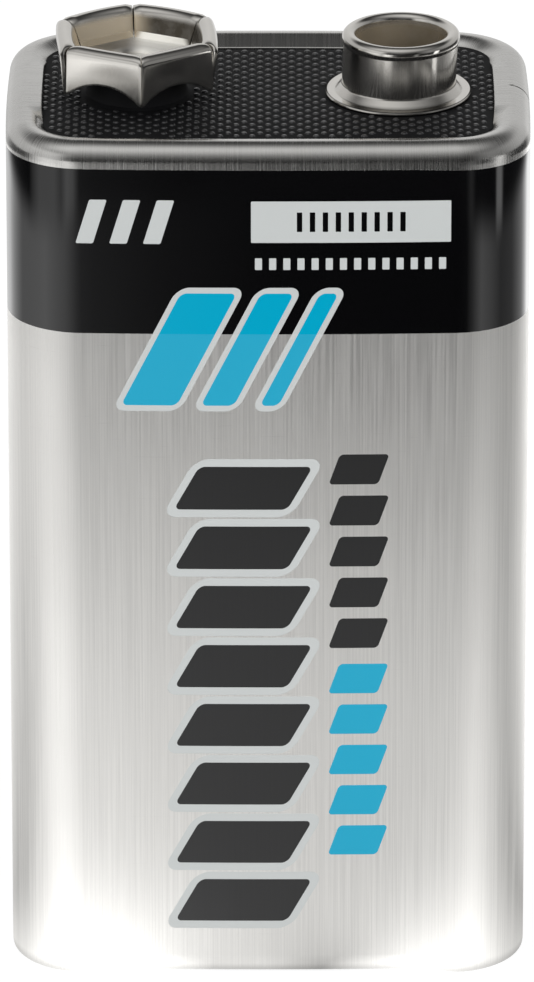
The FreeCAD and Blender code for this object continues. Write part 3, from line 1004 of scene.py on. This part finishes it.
class BATTERY_OT_eyelets(bpy.types.Operator):
    """Set the two hollow rivets"""

    bl_idname = "battery.eyelets"
    bl_label = "Eyelets"

    def execute(self, context):
        finish = nickel_finish("eyelet_finish", SOCKET_X, 3.7)
        for sign, x in (("negative", SOCKET_X), ("positive", STUD_X)):
            node = f"{sign}_eyelet"
            foot, top = low_corner(node).z, high_corner(node).z
            low_flange = [(0.75, 0.1), (0.85, 0.0), (1.4, 0.0), (1.45, 0.05), (1.45, 0.15), (0.9, 0.15)]
            high_flange = [
                (0.9, 0.15), (1.45, 0.15), (1.45, 0.06), (1.40, 0.01), (1.3, 0.0), (1.0, 0.0),
                (0.87, 0.02), (0.78, 0.1), (0.75, 0.2),
            ]
            section = [(radius, foot + up) for radius, up in low_flange]
            section += [(radius, top - down) for radius, down in high_flange]
            bm = bmesh.new()
            turned(bm, section, x, 64)
            seal(bm)
            write_piece(bm, f"{sign}_rivet", finish, [node], 50.0)
        return {"FINISHED"}


class BATTERY_OT_inner_parts(bpy.types.Operator):
    """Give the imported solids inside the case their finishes"""

    bl_idname = "battery.inner_parts"
    bl_label = "Inner parts"

    def execute(self, context):
        strip = inner_finish("nickel_strip_finish", (0.70, 0.69, 0.65), 1.0, 0.22, 2.0, (1.0, 6.0, 1.0))
        card = inner_finish("card_finish", (0.50, 0.43, 0.33), 0.0, 0.7, 3.0)
        film = inner_finish("liner_finish", (0.80, 0.80, 0.77), 0.0, 0.3, 0.5, depth=0.03)
        can = inner_finish("can_finish", (0.66, 0.66, 0.64), 1.0, 0.25, 1.5, (4.0, 4.0, 0.2))
        sleeve = inner_finish("sleeve_finish", (0.05, 0.10, 0.15), 0.0, 0.2, 0.8, depth=0.02)
        plastic = plate_finish("bottom_plate_finish", 0.4, 1.0)
        finishes = (
            ("cell_sleeve", sleeve), ("cell", can), ("strap", strip), ("negative_lead", strip),
            ("positive_lead", strip), ("liner", film), ("bottom_plate", plastic), ("", card),
        )
        for name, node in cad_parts.items():
            if node.hide_render:
                continue
            finish = next(value for start, value in finishes if name.startswith(start))
            node.data.materials.clear()
            node.data.materials.append(finish)
        return {"FINISHED"}


# Light that glossy surfaces see, as pairs of degrees from the front, negative to the left, and level.
# The floor has one ring of them near the battery, one between and one further off, eased over these distances.
MIDDLE_FLOOR = (48.0, 96.0)
FAR_FLOOR = (113.0, 121.0)
FLOOR_LEVELS = (
    ((-180, 0.7), (-155, 0.8), (-135, 1.5), (-115, 1.05), (-88, 0.46), (-64, 0.88), (-44, 2.0), (-18, 0.8),
     (0, 0.76), (18, 0.46), (44, 1.7), (62, 0.72), (88, 0.36), (112, 1.2), (140, 2.5), (158, 1.3), (180, 0.7)),
    ((-180, 0.3), (-160, 1.0), (-135, 1.9), (-100, 0.8), (-60, 1.4), (-32, 0.9), (-16, 0.36), (-6, 0.08),
     (0, 0.02), (14, 0.01), (26, 0.03), (34, 0.3), (46, 1.0), (60, 0.7), (75, 0.3), (96, 0.35), (120, 1.0),
     (140, 2.9), (160, 1.4), (180, 0.3)),
    ((-180, 0.7), (-150, 0.7), (-125, 0.08), (-85, 0.02), (-68, 0.8), (-46, 0.9), (-36, 0.5), (-28, 1.1),
     (-20, 0.9), (-13, 0.15), (-5, 0.03), (10, 0.02), (24, 0.03), (31, 0.25), (37, 0.02), (66, 0.02),
     (69, 1.5), (75, 1.5), (79, 0.03), (132, 0.04), (150, 0.8), (180, 0.7)),
)
HORIZON_LEVELS = (
    (-180, 0.85), (-110, 0.6), (-75, 0.5), (-58, 0.8), (-40, 0.75), (-26, 0.03), (0, 0.02), (30, 0.02),
    (42, 0.15), (58, 0.3), (75, 0.2), (120, 0.55), (180, 0.85),
)


def round_about(wiring, x, y, levels):
    """A level that changes with the bearing from the front, given as pairs of degrees and level."""
    bearing = wiring.math("ARCTAN2", x, wiring.math("MULTIPLY", y, -1.0))
    bearing = wiring.math("MULTIPLY_ADD", bearing, 0.5 / math.pi, 0.5)
    ramp = wiring.add("ShaderNodeValToRGB", {0: bearing})
    most = max(level for _, level in levels)
    elements = ramp.color_ramp.elements
    for degrees, level in levels[1:-1]:
        element = elements.new(degrees / 360 + 0.5)
        element.color = (level / most, level / most, level / most, 1.0)
    for element, (_, level) in ((elements[0], levels[0]), (elements[-1], levels[-1])):
        element.color = (level / most, level / most, level / most, 1.0)
    return wiring.math("MULTIPLY", ramp.outputs[0], most)


class BATTERY_OT_stage(bpy.types.Operator):
    """Set the floor, the light and the camera"""

    bl_idname = "battery.stage"
    bl_label = "Stage"

    def execute(self, context):
        group = settings("stage")
        self.floor()
        self.world(group)
        self.lamps(group)
        self.camera(group)
        scene = bpy.context.scene
        scene.view_settings.view_transform = "Standard"
        return {"FINISHED"}

    def floor(self):
        bm = bmesh.new()
        bmesh.ops.create_grid(bm, x_segments=1, y_segments=1, size=3.0)
        mesh = bpy.data.meshes.new("floor")
        bm.to_mesh(mesh)
        bm.free()
        floor = bpy.data.objects.new("floor", mesh)
        bpy.context.scene.collection.objects.link(floor)
        material = new_material("floor_finish")
        mesh.materials.append(material)
        wiring = Wiring(material.node_tree)
        light = wiring.add("ShaderNodeLightPath").outputs
        x, y, _ = wiring.split(wiring.place())
        away = wiring.length(x, y)
        near, middle, far = [round_about(wiring, x, y, levels) for levels in FLOOR_LEVELS]
        level = wiring.choose(wiring.ease(away, *MIDDLE_FLOOR), near, middle)
        level = wiring.choose(wiring.ease(away, *FAR_FLOOR), level, far)
        at_foot = wiring.product(wiring.ease(away, 26.0, 14.0, 0.0, 0.32), wiring.math("LESS_THAN", y, 0.0))
        level = wiring.math("MULTIPLY_ADD", level, at_foot, level)
        seen = wiring.add("ShaderNodeEmission", {"Color": (1.0, 1.0, 1.0, 1.0), "Strength": 0.88}).outputs[0]
        paper = wiring.add("ShaderNodeBsdfDiffuse", {"Color": (0.25, 0.25, 0.25, 1.0)}).outputs[0]
        seen = wiring.add("ShaderNodeAddShader", {0: seen, 1: paper}).outputs[0]
        mirrored_floor = wiring.add("ShaderNodeEmission", {"Strength": level}).outputs[0]
        plain = wiring.add("ShaderNodeBsdfDiffuse", {"Color": (0.75, 0.75, 0.75, 1.0)}).outputs[0]
        shown = wiring.add("ShaderNodeMixShader", {0: light["Is Camera Ray"], 1: plain, 2: seen}).outputs[0]
        glossy = wiring.math("MAXIMUM", light["Is Glossy Ray"], light["Is Transmission Ray"])
        shown = wiring.add("ShaderNodeMixShader", {0: glossy, 1: shown, 2: mirrored_floor}).outputs[0]
        wiring.add("ShaderNodeOutputMaterial", {"Surface": shown})

    def world(self, group):
        world = bpy.data.worlds.new("studio")
        bpy.context.scene.world = world
        world.use_nodes = True
        world.node_tree.nodes.clear()
        wiring = Wiring(world.node_tree)
        light = wiring.add("ShaderNodeLightPath").outputs
        direction = wiring.add("ShaderNodeTexCoord").outputs["Generated"]
        x, y, z = wiring.split(direction)
        in_degrees = 180 / math.pi
        rise = wiring.product(wiring.math("ARCSINE", z), in_degrees)
        ring = round_about(wiring, x, y, HORIZON_LEVELS)
        horizon = wiring.product(ring, wiring.ease(rise, 26.0, 44.0, 1.0, 0.06))

        # A soft box overhead, leaning to the front and to the left and wider on its front side
        lean, front_reach, back_reach, box_level = 14.0, 36.0, 26.0, 0.85
        over = wiring.math("ADD", wiring.product(wiring.math("ARCTAN2", y, z), in_degrees), lean)
        reach = wiring.choose(wiring.math("GREATER_THAN", over, 0.0), front_reach, back_reach)
        off = wiring.math("DIVIDE", over, reach)
        side = wiring.math("MULTIPLY_ADD", wiring.math("ARCTAN2", x, z), 4 / math.pi, 0.25)
        fall = wiring.math("ADD", wiring.product(off, off), wiring.product(side, side))
        box = wiring.product(wiring.math("EXPONENT", wiring.product(fall, -1.0)), box_level)
        studio = wiring.math("ADD", horizon, wiring.product(box, wiring.math("GREATER_THAN", z, 0.0)))
        glossy = wiring.math("MAXIMUM", light["Is Glossy Ray"], light["Is Transmission Ray"])
        level = wiring.choose(light["Is Camera Ray"], wiring.choose(glossy, group.room, studio), 1.0)
        background = wiring.add("ShaderNodeBackground", {"Strength": level}).outputs[0]
        wiring.add("ShaderNodeOutputWorld", {"Surface": background})

    def lamps(self, group):
        for name, place in (("left_lamp", (-0.35, -0.35, 0.3)), ("right_lamp", (0.35, -0.35, 0.3))):
            lamp = bpy.data.lights.new(name, "AREA")
            lamp.size = 0.25
            lamp.energy = group.lamp
            holder = bpy.data.objects.new(name, lamp)
            holder.location = place
            aim = Vector((0.0, 0.0, 0.025)) - Vector(place)
            holder.rotation_euler = aim.to_track_quat("-Z", "Y").to_euler()
            holder.visible_glossy = False
            bpy.context.scene.collection.objects.link(holder)

    def camera(self, group):
        camera = bpy.data.cameras.new("camera")
        camera.sensor_fit = "AUTO"
        camera.sensor_width = 36.0
        camera.lens = group.camera_lens
        camera.clip_start = 0.01
        camera.clip_end = 20.0
        holder = bpy.data.objects.new("camera", camera)
        rise = group.camera_rise
        target = Vector((-0.051, 0.0, 22.338)) * MM
        holder.location = target + Vector((0.0, -math.cos(rise), math.sin(rise))) * group.camera_distance
        holder.rotation_euler = (math.pi / 2 - rise, 0.0, 0.0)
        bpy.context.scene.collection.objects.link(holder)
        bpy.context.scene.camera = holder


class BATTERY_PT_panel(bpy.types.Panel):
    """Lists the battery's pieces and their sizes."""

    bl_idname = "BATTERY_PT_panel"
    bl_label = "Nine volt battery"
    bl_space_type = "VIEW_3D"
    bl_region_type = "UI"
    bl_category = "Battery"

    def draw(self, context):
        layout = self.layout
        for group_name in GROUPS:
            box = layout.box()
            group = settings(group_name)
            for name in group.bl_rna.properties.keys():
                if name not in ("rna_type", "name"):
                    box.prop(group, name)
        for operator in OPERATORS:
            layout.operator(operator.bl_idname)


GROUPS = {
    "case": BATTERY_PG_case,
    "print": BATTERY_PG_print,
    "plate": BATTERY_PG_plate,
    "terminals": BATTERY_PG_terminals,
    "stage": BATTERY_PG_stage,
}
OPERATORS = (
    BATTERY_OT_case,
    BATTERY_OT_top_plate,
    BATTERY_OT_negative_terminal,
    BATTERY_OT_positive_terminal,
    BATTERY_OT_eyelets,
    BATTERY_OT_inner_parts,
    BATTERY_OT_stage,
)
CLASSES = (*GROUPS.values(), *OPERATORS, BATTERY_PT_panel)


def register():
    for item in CLASSES:
        bpy.utils.register_class(item)
    for name, group in GROUPS.items():
        setattr(bpy.types.Scene, "battery_" + name, bpy.props.PointerProperty(type=group))


def unregister():
    for name in GROUPS:
        delattr(bpy.types.Scene, "battery_" + name)
    for item in reversed(CLASSES):
        bpy.utils.unregister_class(item)


def main():
    register()
    for operator in OPERATORS:
        family, name = operator.bl_idname.split(".")
        getattr(getattr(bpy.ops, family), name)()


if __name__ == "__main__":
    main()
